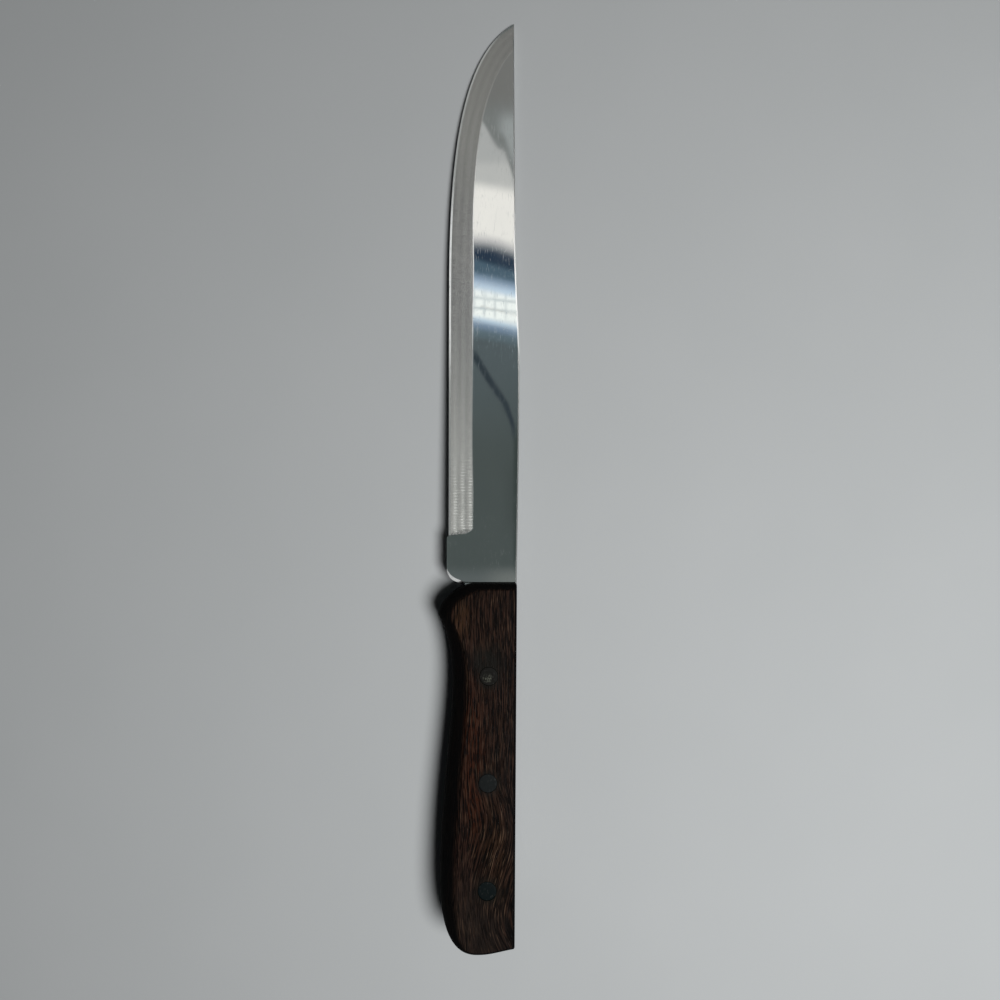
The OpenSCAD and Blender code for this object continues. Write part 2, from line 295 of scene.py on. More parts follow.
def mesh_object(name, vertices, faces, materials=()):
    """A new mesh object in the scene."""
    mesh = bpy.data.meshes.new(name)
    mesh.from_pydata([tuple(v) for v in vertices], [], [tuple(f) for f in faces])
    mesh.validate()
    for material in materials:
        mesh.materials.append(material)
    return new_object(name, mesh)


def band(first, count):
    """Faces between the ring of count points that starts at first and the ring after it."""
    pairs = [(first + i, first + (i + 1) % count) for i in range(count)]
    return [(a, b, b + count, a + count) for a, b in pairs]


def grid_faces(rows, columns):
    """Faces between the points of a grid, which are numbered row by row."""
    corners = [row * columns + k for row in range(rows - 1) for k in range(columns - 1)]
    return [(k, k + columns, k + columns + 1, k + 1) for k in corners]


# Shader helpers. A socket's id_data is its node tree.


def new_material(name):
    """A material, its node tree and its main shader."""
    made = bpy.data.materials.new(name)
    made.use_nodes = True
    tree = made.node_tree
    return made, tree, tree.nodes["Principled BSDF"]


def set_input(socket, value):
    """Links a value that is a socket to an input, and sets any other value there."""
    if isinstance(value, bpy.types.NodeSocket):
        socket.id_data.links.new(value, socket)
    else:
        socket.default_value = value


def add(tree, kind, inputs, **settings):
    """Adds a shader node of this kind, with these settings and inputs."""
    made = tree.nodes.new("ShaderNode" + kind)
    for key, value in settings.items():
        setattr(made, key, value)
    for key, value in inputs.items():
        set_input(made.inputs[key], value)
    return made


def math_node(operation, a, b=0.0, c=0.0):
    """The result of a math node on a socket and up to two values or sockets."""
    return add(a.id_data, "Math", {0: a, 1: b, 2: c}, operation=operation).outputs[0]


def times(a, b, plus=0.0):
    """The product of a socket and a value or socket, plus a third."""
    return math_node("MULTIPLY_ADD", a, b, plus)


def coordinates(tree):
    """Object coordinates in millimetres."""
    place = add(tree, "TexCoord", {}).outputs["Object"]
    return scaled(place, (1 / MM, 1 / MM, 1 / MM))


def scaled(vector, scale, rotation=(0, 0, 0), offset=(0, 0, 0)):
    """A vector scaled, turned and then moved."""
    inputs = {"Vector": vector, "Scale": scale, "Rotation": rotation, "Location": offset}
    return add(vector.id_data, "Mapping", inputs).outputs[0]


def noise(vector, size, detail=2.0, roughness=0.5):
    """Noise whose features are about size (x, y, z) millimetres across."""
    stretched = scaled(vector, tuple(1 / s for s in size))
    inputs = {"Vector": stretched, "Scale": 1.0, "Detail": detail, "Roughness": roughness}
    return add(vector.id_data, "TexNoise", inputs).outputs["Fac"]


def ramp(value, low, high, out_low=0.0, out_high=1.0):
    """A smooth step from out_low to out_high while the value goes from low to high."""
    inputs = {0: value, 1: low, 2: high, 3: out_low, 4: out_high}
    return add(value.id_data, "MapRange", inputs, interpolation_type="SMOOTHSTEP").outputs[0]


def opaque(value):
    """A colour with an alpha of 1. A value that is no tuple stays as it is."""
    return (*value, 1) if isinstance(value, tuple) else value


def mix(share, a, b):
    """Colour a with that share of colour b laid over it."""
    inputs = {0: share, 6: opaque(a), 7: opaque(b)}
    return add(share.id_data, "Mix", inputs, data_type="RGBA").outputs[2]


def layered(tint, *layers):
    """A colour with each layer laid over it in turn. A layer is a share and a colour."""
    for share, tone in layers:
        tint = mix(share, tint, tone)
    return tint


def bump(height, depth, normal=None):
    """Bump from a height of 0 to 1 that stands for depth millimetres, on top of another bump."""
    inputs = {"Height": height, "Distance": depth * MM, "Strength": 1.0}
    if normal:
        inputs["Normal"] = normal
    return add(height.id_data, "Bump", inputs).outputs[0]


def connect(shader, tint, rough, normal, **others):
    """Links or sets the shader's inputs. The others are named with _ for each space."""
    inputs = {"Base_Color": tint, "Roughness": rough, "Normal": normal, **others}
    for name, value in inputs.items():
        set_input(shader.inputs[name.replace("_", " ")], opaque(value))


def scratches(place, width, length, turn, share):
    """Fine lines as 0 to 1, of that width and length and turned by degrees from the blade's way."""
    turned = scaled(place, (1, 1, 1), rotation=(0, 0, math.radians(turn)))
    lines = noise(turned, (width, length, width), detail=1)
    return ramp(lines, 1 - share, 1 - share + 0.06)


def spot(place, centre, size):
    """1 at a spot of the drawing, falling to 0 at its border. Size is half its x and y extent."""
    middle = DATUM + Vector((*centre, 0))
    scale = (1 / size[0], 1 / size[1], 0)
    offset = (-middle.x / size[0], -middle.y / size[1], 0)
    near = scaled(place, scale, offset=offset)
    length = add(place.id_data, "VectorMath", {0: near}, operation="LENGTH")
    return ramp(length.outputs["Value"], 1, 0.25)


# Materials


def polished_steel():
    """The flat cheeks: nearly a mirror, with fine lengthwise scratches and faint smears."""
    made, tree, shader = new_material("polished_steel")
    place = coordinates(tree)
    smears = noise(place, (9, 14, 9), detail=3)
    fine = scratches(place, 0.22, 3.2, 0, 0.36)
    stray = scratches(place, 0.25, 12, 3, 0.29)
    lines = math_node("MAXIMUM", fine, stray)
    rough = ramp(smears, 0.35, 0.75, 0.02, 0.045)
    rough = times(lines, 0.10, rough)
    tint = mix(smears, (0.60, 0.615, 0.61), (0.65, 0.66, 0.65))
    tint = mix(times(lines, 0.25), tint, (0.50, 0.52, 0.54))
    swell = noise(place, (30, 22, 30), detail=0)
    normal = bump(swell, 0.012)
    normal = bump(lines, 0.0001, normal=normal)
    connect(shader, tint, rough, normal, Metallic=1.0)
    return made


def grinding_tracks(track, depth, near):
    """Lengthwise bands of the grinding, from -1 to 1 where near is 1."""
    bent = times(noise(track, (40, 30, 1)), 0.5, depth)
    pitch = 2 * math.pi / TRACK_PITCH
    turn = times(bent, pitch, -pitch * TRACK_FROM)
    return times(math_node("SINE", turn), near)


def grinding_ticks(track, along, near, bands):
    """Short crosswise ticks on the bands, as 0 to 1. Some of them are missing."""
    ticks = math_node("SINE", times(along, 2 * math.pi / TICK_PITCH))
    ticks = times(ramp(ticks, 0.5, 0.95), near)
    kept = ramp(noise(track, (2.0, 3.5, 1), detail=1), 0.44, 0.54)
    ticks = times(ticks, kept)
    return times(ticks, ramp(bands, -0.6, 0.6, 0.2, 1.0))


def ground_steel():
    """The ground bevel: satin, with lengthwise tracks and short ticks by the plunge."""
    made, tree, shader = new_material("ground_steel")
    track = add(tree, "Attribute", {}, attribute_name="along_edge").outputs["Vector"]
    depth, along, _ = add(tree, "SeparateXYZ", {0: track}).outputs
    near = ramp(along, 10, 34, 1.0, 0.12)
    bands = grinding_tracks(track, depth, near)
    ticks = grinding_ticks(track, along, near, bands)
    across = noise(track, (3.2, 0.16, 1), detail=2)
    bars = ramp(noise(track, (5.0, 0.35, 1), detail=1), 0.66, 0.72)
    streaks = noise(track, (1.0, 26, 1), detail=3, roughness=0.6)
    # The light and dark bands of the tracks here are painted highlight and shade of the grind's
    # ridges, and partly its own tone.
    tint = layered(
        mix(ramp(bands, -1, 1), (0.47, 0.47, 0.465), (0.79, 0.79, 0.78)),
        (times(near, 0.45), (0.34, 0.335, 0.325)),
        (ramp(streaks, 0.42, 0.62, 0, 0.14), (0.74, 0.74, 0.73)),
        (times(bars, 0.45), (0.84, 0.83, 0.81)),
        (times(ticks, 0.9), (0.97, 0.97, 0.95)),
        (ramp(across, 0.3, 0.7, 0.0, 0.22), (0.42, 0.42, 0.41)),
    )
    rough = ramp(across, 0.3, 0.7, 0.18, 0.26)
    normal = bump(bands, 0.012)
    normal = bump(across, 0.003, normal=normal)
    connect(shader, tint, rough, normal, Metallic=1.0)
    return made


def honed_steel():
    """The sharpened edge, the grind's crest and the heel's chamfer: bright, with tiny nicks."""
    made, tree, shader = new_material("honed_steel")
    place = coordinates(tree)
    marks = noise(place, (0.5, 0.12, 0.5), detail=2)
    nicks = ramp(noise(place, (0.5, 0.7, 0.5), detail=1), 0.66, 0.72)
    tint = mix(marks, (0.66, 0.67, 0.67), (0.80, 0.80, 0.79))
    tint = mix(nicks, tint, (0.42, 0.42, 0.41))
    rough = ramp(marks, 0.3, 0.7, 0.12, 0.2)
    normal = bump(marks, 0.002)
    connect(shader, tint, rough, normal, Metallic=1.0)
    return made


def edge_steel():
    """The blade's back and the tang's edge: satin, with fine lines across the thickness."""
    made, tree, shader = new_material("edge_steel")
    place = coordinates(tree)
    lines = noise(place, (1.5, 0.1, 3), detail=2)
    dull = noise(place, (4, 12, 4), detail=3)
    tint = mix(dull, (0.46, 0.46, 0.45), (0.60, 0.60, 0.58))
    rough = ramp(lines, 0.3, 0.7, 0.28, 0.42)
    normal = bump(lines, 0.004)
    connect(shader, tint, rough, normal, Metallic=1.0)
    return made


def leaning_grain(place):
    """Coordinates of the grain: it wanders to and fro, and leans towards the butt at one spot."""
    tree = place.id_data
    lean_at, lean_size, lean = (-8, -98), (14, 34), -0.3
    drift = noise(place, (22, 40, 22), detail=1)
    aside = times(drift, 5.0, -2.5)
    up = add(tree, "SeparateXYZ", {0: place}).outputs[1]
    up = math_node("SUBTRACT", up, DATUM.y + lean_at[1])
    leant = times(times(up, spot(place, lean_at, lean_size)), lean)
    grain = place
    for distance in (aside, leant):
        shift = add(tree, "CombineXYZ", {0: distance}).outputs[0]
        grain = add(tree, "VectorMath", {0: grain, 1: shift}, operation="ADD").outputs[0]
    return grain


def streaked_wood(place, grain, fibres, pores):
    """Clean wood: figure and patches, then fibres, hairlines, fleck marks with painted glint, pores.
    """
    figure = noise(grain, (2.6, 46, 3.4), detail=3, roughness=0.55)
    tint = mix(ramp(figure, 0.36, 0.64), FIGURE_DARK, FIGURE_PALE)
    for centre, size, share, tone in WOOD_PATCHES:
        tint = mix(times(spot(place, centre, size), share), tint, tone)
    calm_butt = spot(place, (-14, -117), (17, 27))
    lively = times(calm_butt, -0.65, 1.0)
    hairlines = noise(grain, (0.32, 9, 0.35), detail=1)
    flecks_and_glints = ramp(noise(grain, (0.4, 8.0, 0.5), detail=2), 0.58, 0.70)
    fleck_and_glint_share = times(spot(place, (-6.5, -96), (8, 30)), 0.5, 0.35)
    return layered(
        tint,
        (times(ramp(fibres, 0.54, 0.64, 0, 0.65), lively), FIBRE_PALE),
        (times(ramp(fibres, 0.525, 0.43, 0, 0.97), lively), FIBRE_DARK),
        (times(ramp(hairlines, 0.55, 0.64, 0, 0.5), lively), HAIR_TONE),
        # The pale flecks on the leaning grain are pale grain as well as painted glints.
        (times(flecks_and_glints, fleck_and_glint_share), FLECK_AND_GLINT_TONE),
        (times(pores, 0.85), PORE_TONE),
    )


def grimed(place, tint):
    """Clouds of grime round each rivet and on the wood before the front one."""
    around = spot(place, (-10.5, -27), (8.5, 9.5))
    for centre, radius in rivet_places():
        ring = spot(place, centre, (radius + 3.2, radius + 3.2))
        around = math_node("MAXIMUM", around, ring)
    clouds = ramp(noise(place, (3, 4, 3), detail=3), 0.3, 0.55, 0.45, 0.95)
    return mix(times(around, clouds), tint, GRIME_TONE)


def handle_wood():
    """Dark tropical hardwood with a satin finish rubbed by use, and painted shade on its round-over.
    """
    made, tree, shader = new_material("handle_wood")
    place = coordinates(tree)
    grain = leaning_grain(place)
    fibres = noise(grain, (0.5, 9, 0.6), detail=3, roughness=0.6)
    pores = ramp(noise(grain, (0.4, 5.0, 0.4), detail=1), 0.55, 0.64)
    tint = grimed(place, streaked_wood(place, grain, fibres, pores))
    facing = add(tree, "NewGeometry", {}).outputs["Normal"]
    facing = add(tree, "SeparateXYZ", {0: facing}).outputs[2]
    # Painted shade: the round-over turns away from the lamp, so its faces are darkened to near
    # black.
    turned = ramp(math_node("ABSOLUTE", facing), 0.985, 0.90)
    tint = mix(times(turned, 0.93), tint, ROUND_SHADE_TONE)
    rough = ramp(fibres, 0.3, 0.7, 0.30, 0.42)
    rough = times(pores, 0.2, rough)
    rough = times(turned, 0.4, rough)
    hollows = times(pores, -1.0, 1.0)
    normal = bump(fibres, 0.05)
    normal = bump(hollows, 0.09, normal=normal)
    connect(shader, tint, rough, normal, Specular_IOR_Level=0.03)
    return made


def rivet_metal():
    """Rivet heads gone dark with age. The front one wears grime, the rear one blue patina."""
    made, tree, shader = new_material("rivet_metal")
    place = coordinates(tree)
    (front, _), _, (rear, _) = rivet_places()
    bloom = noise(place, (1.6, 1.6, 1.6), detail=3)
    rubs = ramp(noise(place, (0.5, 1.1, 0.5), detail=2), 0.58, 0.72)
    # The pale spot on the front rivet is wear as well as a painted highlight.
    wear_and_glint = ramp(noise(place, (0.6, 0.6, 0.6), detail=3), 0.46, 0.60)
    wear_and_glint_at = front - [0.4, 0.6]
    wear_and_glint = times(wear_and_glint, spot(place, wear_and_glint_at, (2.1, 1.9)))
    blue = mix(bloom, (0.0003, 0.0019, 0.0021), (0.0008, 0.0036, 0.0040))
    dirt = mix(bloom, (0.0034, 0.0033, 0.0026), (0.0058, 0.0055, 0.0045))
    tint = layered(
        mix(bloom, (0.0040, 0.0054, 0.0056), (0.0062, 0.0076, 0.0076)),
        (spot(place, rear, (20, 20)), blue),
        (spot(place, front, (20, 20)), dirt),
        (times(rubs, 0.3), (0.05, 0.05, 0.045)),
        (times(wear_and_glint, 0.75), (0.11, 0.115, 0.09)),
    )
    rough = ramp(bloom, 0.3, 0.7, 0.5, 0.65)
    normal = bump(noise(place, (0.3, 0.3, 0.3), detail=3), 0.01)
    connect(shader, tint, rough, normal, Metallic=0.1, Specular_IOR_Level=0.06)
    return made


# Blade


def edge_path():
    """The ground edge from the plunge to the point, its inward normals, and a run-on past it."""
    turns = np.radians(np.arange(90, 0, -PLUNGE_STEP))
    rows = np.concatenate([
        PLUNGE_AT - PLUNGE_L * np.sin(turns),
        np.arange(PLUNGE_AT, BELLY_FROM - EDGE_STEP / 3, EDGE_STEP),
    ])
    straight = np.column_stack([np.full(len(rows), -BLADE_H), rows])
    pull = POINT_PULL * np.array([math.sin(POINT_ANGLE), math.cos(POINT_ANGLE)])
    start = np.array([-BLADE_H, BELLY_FROM])
    curve = [start, start + [0, BELLY_PULL], POINT - pull, POINT]
    path = np.vstack([straight, cubic(curve, np.linspace(0, 1, BELLY_POINTS))])
    way = np.gradient(path, axis=0)
    way[-1] = pull
    way /= np.linalg.norm(way, axis=1)[:, None]
    path = np.vstack([path, POINT + EDGE_RUN_ON * way[-1]])
    way = np.vstack([way, way[-1]])
    return path, np.stack([way[:, 1], -way[:, 0]], 1)


def bevel_width(y):
    """Width of the ground bevel at a distance from the handle: rounded off at the plunge."""
    steady = BEVEL_W + (BEVEL_POINT_W - BEVEL_W) * smoothstep(BELLY_FROM, NARROW_TO, y)
    steady = steady + BEVEL_WANDER * wander(y, 1.0) * smoothstep(0, WANDER_RISE, y - PLUNGE_AT)
    turned = np.clip((PLUNGE_AT - y) / PLUNGE_L, 0, 1)
    return PLUNGE_LEFT_W + (steady - PLUNGE_LEFT_W) * np.sqrt(1 - turned**2)


def back_path():
    """The blade's back from the handle over its crest to the point."""
    crest = np.array([BACK_RISE, CREST_AT])
    fall = np.array([-FALL, FALL_AT])
    reach = np.array([0, FALL_PULL])
    lead = np.array([0, BACK_PULL])
    curves = [
        [(0, 0), (BACK_RISE / 2, CREST_AT / 3), (BACK_RISE, CREST_AT * 2 / 3), crest],
        [crest, crest + reach, fall - reach, fall],
        [fall, fall + lead, POINT - lead, POINT],
    ]
    return chain(curves, BLADE_BACK_STEPS)


def heel_path():
    """The heel's rounded corner, from under the handle's front to the cutting side."""
    curve = [(-TANG_H, 0), ((HEEL_X - TANG_H) / 2, 0), (HEEL_X, HEEL_PULL), (HEEL_X, HEEL_L)]
    return cubic(curve, np.linspace(0, 1, HEEL_POINTS))


def heel_fade(share):
    """Width of the heel's chamfer as a share of its full width, along the rounded corner."""
    return np.clip(np.sin(np.radians(CHAMFER_START + CHAMFER_SWEEP * share)), 0, None)


def handle_back(s):
    """Height of the handle's back at a distance s behind its front."""
    return -BACK_DROP * s / (HANDLE_L - BUTT_LEAN)


def tang_path():
    """The tang's outline from its end at the back to its rounded lower corner."""
    end = np.array([handle_back(TANG_L), -TANG_L])
    corner = end - [TANG_END_H, 0]
    slope = np.array([-TANG_H, 0]) - corner
    slope /= np.linalg.norm(slope)
    curve = [
        end - [TANG_END_H - TANG_R, 0],
        corner + [TANG_R_PULL, 0],
        corner + TANG_R_PULL * slope,
        corner + TANG_R * slope,
    ]
    return np.vstack([end[None], cubic(curve, np.linspace(0, 1, CORNER_POINTS))])


def rivet_places():
    """Centre in the drawing's axes, and head radius, of each rivet."""
    places = []
    for name in RIVET_NAMES:
        low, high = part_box(f"{name}_rivet_post")
        centre = (low + high) / 2 / MM - DATUM
        places.append((np.array([centre.x, centre.y]), (high.x - low.x) / 2 / MM))
    return places


def circle(centre, radius, count=48):
    """Points on a circle, the first one towards +x."""
    angle = np.arange(count) * 2 * math.pi / count
    return centre + radius * np.stack([np.cos(angle), np.sin(angle)], 1)


def half_thickness(points, edge, back, heel):
    """Half the blade's thickness at each point, and where the point lies on the grinds."""
    x, y = points.T
    depth, along = nearest(points, edge)
    depth = np.where(y < PLUNGE_FOOT, np.clip(x + BLADE_H, 0, None), depth)
    width = bevel_width(y)
    slope = (BLADE_T - HONE_T) / 2 / (width - HONE_W)
    hone = EDGE_T / 2 + (HONE_T - EDGE_T) / 2 * depth / HONE_W
    ground = HONE_T / 2 + slope * (depth - HONE_W)
    crest = BLADE_T / 2 - slope / 2 * (width + CREST_W - depth)
    lift = np.clip(PLUNGE_FOOT - y, 0, None) * BLADE_T / PLUNGE_RUN
    ground = np.where(depth < HONE_W, hone, np.minimum(ground, crest))
    half = np.minimum(ground + lift, BLADE_T / 2)
    to_back, _ = nearest(points, back)
    half = np.minimum(half, BLADE_T / 2 - BACK_EASE + to_back)
    to_heel, step = nearest(points, heel)
    share = step / np.linalg.norm(np.diff(heel, axis=0), axis=1).sum()
    chamfer = HEEL_CHAMFER_W * heel_fade(share)
    half = np.minimum(half, BLADE_T / 2 - HEEL_CHAMFER_T / HEEL_CHAMFER_W * (chamfer - to_heel))
    grinds = {
        "depth": depth, "along": along, "width": width,
        "to_back": to_back, "past_chamfer": to_heel - chamfer,
    }
    return np.maximum(half, EDGE_T / 2), grinds


def triangulated(loops, lines):
    """Triangles over closed loops and open lines, all kept as edges."""
    points, edges = [], []
    for path, closed in [(p, True) for p in loops] + [(p, False) for p in lines]:
        first, n = len(points), len(path)
        points += [Vector(p) for p in path]
        edges += [(first + i, first + i + 1) for i in range(n - 1)]
        if closed:
            edges.append((first + n - 1, first))
    found = geometry.delaunay_2d_cdt(points, edges, [], 0, SAME_PLACE)
    return np.array([tuple(v) for v in found[0]]), np.array([tuple(f) for f in found[2]])


def blade_outline(edge, back, heel):
    """The closed outline of blade and tang. The heel below the plunge's foot is unground."""
    foot = np.array([-BLADE_H, PLUNGE_FOOT])
    end = np.array([HEEL_X, PLUNGE_FOOT - PLUNGE_RUN])
    above = edge[1:-1][::-1]
    return np.vstack([back[:-1], above, foot, (foot + end) / 2, end, heel[::-1], tang_path()[::-1]])


def grind_lines(edge, normal, back, heel):
    """Lines along which the blade's side bends. They stay edges of its mesh."""
    width = bevel_width(edge[:, 1])[:, None]
    lines = [edge + HONE_W * normal]
    lines += [edge + (HONE_W + share * (width - HONE_W)) * normal for share in BEVEL_LINES]
    lines += [edge + (width + side * CREST_W) * normal for side in (-1, 1)]
    lines.append(back + BACK_EASE * left_normals(back))

    depth = np.array([0, HONE_W, PLUNGE_LEFT_W - CREST_W, PLUNGE_LEFT_W + CREST_W])
    ramp_foot = np.column_stack([depth - BLADE_H, np.full(len(depth), PLUNGE_FOOT)])
    half, _ = half_thickness(ramp_foot, edge, back, heel)
    rise = (BLADE_T / 2 - half) * PLUNGE_RUN / BLADE_T
    lines += [ramp_foot, ramp_foot - np.column_stack([0 * rise, rise])]

    length = np.linalg.norm(np.diff(heel, axis=0), axis=1).cumsum()
    fade = heel_fade(np.concatenate([[0], length / length[-1]]))[:, None]
    reach = -HEEL_CHAMFER_W * fade * left_normals(heel)
    return lines + [heel + share * reach for share in CHAMFER_LINES]


def flat_side(outline, holes, lines):
    """The blade's side as flat triangles that all turn the same way: points and triangles."""
    flat, triangles = triangulated([outline] + holes, lines)
    middles = flat[triangles].mean(1)
    kept = inside(middles, outline)
    for hole in holes:
        kept &= ~inside(middles, hole)
    used, triangles = np.unique(triangles[kept], return_inverse=True)
    flat, triangles = flat[used], triangles.reshape(-1, 3)
    a, b, c = (flat[triangles[:, k]] for k in range(3))
    turn = np.cross(b - a, c - a)
    triangles[turn < 0] = triangles[turn < 0][:, ::-1]
    return flat, triangles


def side_finish(middles, grinds):
    """The finish of each triangle of the blade's side, from its middle."""
    depth, width = grinds["depth"], grinds["width"]
    ground = middles[:, 1] > PLUNGE_FOOT - PLUNGE_RUN / 2
    finish = np.full(len(middles), CHEEK)
    finish[(depth < width + CREST_W) & ground] = HONED
    finish[(depth > HONE_W) & (depth < width - CREST_W) & ground] = BEVEL
    finish[grinds["past_chamfer"] < 0] = HONED
    finish[grinds["to_back"] < BACK_EASE] = RIM
    return finish


def dressed_blade(finishes):
    """Blade and tang: the same flat side above and below, each as high as the grinds leave it."""
    edge, normal = edge_path()
    back, heel = back_path(), heel_path()
    holes = [circle(centre, TANG_BORE_R) for centre, _ in rivet_places()]
    lines = grind_lines(edge, normal, back, heel)
    flat, triangles = flat_side(blade_outline(edge, back, heel), holes, lines)
    half, grinds = half_thickness(flat, edge, back, heel)
    count = len(flat)
    points = [at(x, y, MID_Z + side * z) for side in (1, -1) for (x, y), z in zip(flat, half)]
    sides = {(i, j) for tri in triangles for i, j in zip(tri, np.roll(tri, -1))}
    rim = sorted((i, j) for i, j in sides if (j, i) not in sides)
    faces = [tuple(tri) for tri in triangles] + [tuple(tri[::-1] + count) for tri in triangles]
    faces += [(j, i, i + count, j + count) for i, j in rim]
    made = mesh_object("dressed_blade", points, faces, finishes)

    middles = flat[triangles].mean(1)
    finish = side_finish(middles, half_thickness(middles, edge, back, heel)[1])
    finish = np.concatenate([finish, finish, np.full(len(rim), RIM)])
    made.data.polygons.foreach_set("material_index", finish.astype(np.int32))
    upper = np.stack([grinds["depth"], grinds["along"], np.zeros(count)], 1)
    under = upper + [0, 0, UNDERSIDE_SHIFT]
    track = made.data.attributes.new("along_edge", "FLOAT_VECTOR", "POINT")
    track.data.foreach_set("vector", np.vstack([upper, under]).astype(np.float32).ravel())
    made.data.shade_smooth()
    made.data.set_sharp_from_angle(angle=BLADE_CREASE)
    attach(made, "root")
    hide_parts("blade")


# Handle


def handle_curves():
    """Belly and back curves of the handle: x, y and the inset to the flat face's border."""
    front_low = (-14, 0, 0.3, -ROUND_FRONT - 0.5)
    guard = np.array([-GUARD_H, -GUARD_AT, ROUND_GUARD, -0.5])
    waist = np.array([-WAIST[0], -WAIST[1], ROUND_WAIST, 0])
    swell = np.array([-SWELL[0], -SWELL[1], ROUND_SWELL, 0])
    butt = np.array([-BUTT_LOW_H, -HANDLE_L, -0.2, ROUND_BUTT])
    front = [(-9, 0), (-11, 0), (-12.5, 0)]
    belly = [
        [(*p, 0, -ROUND_FRONT) for p in front] + [front_low],
        [front_low, (-20.5, 0, 3, -4.4), guard + [0, 4.8, 0, 0.2], guard],
        [guard, guard + [0, -1.8, 0, -0.8], waist + [0, 16.5, 0, -3.6], waist],
        [waist, waist + [0, -18, 0, 0.2], swell + [0, 30, 0, -0.5], swell],
        [swell, swell + [0, -21.3, 0, 3.7], butt - [7.5, 0, -1.1, 0], butt],
    ]
    length = HANDLE_L - BUTT_LEAN
    end_x = handle_back(length)
    r = CORNER_R
    border = -ROUND_BACK
    inset_end = (end_x - r, -length - 0.05, -0.2, ROUND_BACK)
    start = (0, -r, border, -1.9)
    slope = [(handle_back(s), -s, border, 0) for s in np.linspace(5, length - r, 4)]
    back = [
        [(-r, 0, -r, -ROUND_FRONT), (-r / 2, 0, -r, -ROUND_FRONT), (0, -r / 2, border, -2), start],
        [start, (handle_back(2), -2, border, -1.2), (handle_back(3.5), -3.5, border, 0), slope[0]],
        slope,
        [
            slope[-1],
            (end_x, r / 2 - length, border, 0.4),
            (end_x - r / 2, -length, -0.5, ROUND_BACK),
            inset_end,
        ],
        [inset_end, (end_x - 4.5, -length - 0.8, -0.2, ROUND_BUTT), butt + [4.5, 0, 0, 0], butt],
    ]
    return belly, back


def handle_ring():
    """The handle's outline as one closed ring, with the inset at each of its points."""
    belly, back = handle_curves()
    lower = chain(belly, HANDLE_BELLY_STEPS)
    upper = chain(back, HANDLE_BACK_STEPS)[:-1]
    return np.vstack([lower, upper[::-1]])


def loft(name, rings):
    """A closed solid over rings with the same count of points, from the lowest one up."""
    count = len(rings[0])
    last = (len(rings) - 1) * count
    faces = [tuple(reversed(range(count))), tuple(range(last, last + count))]
    for first in range(0, last, count):
        faces += band(first, count)
    return mesh_object(name, [at(*p) for ring in rings for p in ring], faces)


def handle_body():
    """The handle before its slot and bores are cut: a closed loft between two flat faces."""
    ring = handle_ring()
    inset = ring[:, 2:]
    rise = np.minimum(MID_Z - ROUND_REST, ROUND_DEPTH * np.linalg.norm(inset, axis=1))
    angles = np.linspace(0, ROUND_SWEEP, ROUND_STEPS + 1)
    rings = []
    for side, sweep in ((-1, angles[::-1]), (1, angles)):
        for a in sweep:
            into = (1 - math.cos(a)) / (1 - math.cos(ROUND_SWEEP))
            up = math.sin(a) / math.sin(ROUND_SWEEP)
            z = MID_Z + side * (MID_Z - rise + rise * up)
            rings.append(np.column_stack([ring[:, :2] + into * inset, z]))
    return loft("dressed_handle", rings)


def prism(name, outline, low, high):
    """A closed prism on a flat outline, from the height low to high."""
    return loft(name, [[(x, y, z) for x, y in outline] for z in (low, high)])


def outward(made):
    """Turns every face of a closed mesh outwards."""
    work = bmesh.new()
    work.from_mesh(made.data)
    bmesh.ops.recalc_face_normals(work, faces=work.faces)
    work.to_mesh(made.data)
    work.free()


def cut_away(made, cutters):
    """Cuts closed meshes out of another one and removes them."""
    for cutter in cutters:
        outward(cutter)
        step = made.modifiers.new("cut", "BOOLEAN")
        step.operation = "DIFFERENCE"
        step.solver = "EXACT"
        step.object = cutter
    scene_now = bpy.context.evaluated_depsgraph_get()
    cut = bpy.data.meshes.new_from_object(made.evaluated_get(scene_now))
    made.modifiers.clear()
    made.data = cut
    for cutter in cutters:
        bpy.data.objects.remove(cutter)


def mark_crisp_edges(made, angle):
    """Smooth shading, with sharp edges round the flat faces and where the surface turns."""
    made.data.shade_smooth()
    work = bmesh.new()
    work.from_mesh(made.data)
    for edge in work.edges:
        flat = {abs(face.normal.z) > FLAT_NORMAL for face in edge.link_faces}
        within = len(edge.link_faces) == 2 and len(flat) == 1
        edge.smooth = within and edge.calc_face_angle(0) < angle
    work.to_mesh(made.data)
    work.free()


def slot_outline():
    """The tang's outline, run on over the handle's back and front, where the slot is open."""
    corners = [(-TANG_H, 0), (-TANG_H, SLOT_OVER), (SLOT_OVER, SLOT_OVER), (SLOT_OVER, -TANG_L)]
    return np.vstack([corners, tang_path()[1:]])


def dressed_handle(wood):
    """The handle with the slot for the tang, and with bores and seats for the rivets."""
    made = handle_body()
    outward(made)
    cutters = [prism("slot", slot_outline(), MID_Z - BLADE_T / 2, MID_Z + BLADE_T / 2)]
    seats = ((-CUT_OVER, HEAD_T), (HANDLE_T - HEAD_T, HANDLE_T + CUT_OVER))
    for i, (centre, radius) in enumerate(rivet_places()):
        bore = circle(centre, WOOD_BORE_R)
        cutters.append(prism(f"bore_{i}", bore, -CUT_OVER, HANDLE_T + CUT_OVER))
        seat = circle(centre, radius + HEAD_ROOM, count=64)
        for side, (low, high) in enumerate(seats):
            cutters.append(prism(f"seat_{i}_{side}", seat, low, high))
    cut_away(made, cutters)
    made.data.materials.clear()
    made.data.materials.append(wood)
    mark_crisp_edges(made, HANDLE_CREASE)
    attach(made, "root")
    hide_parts("handle")


# Rivets


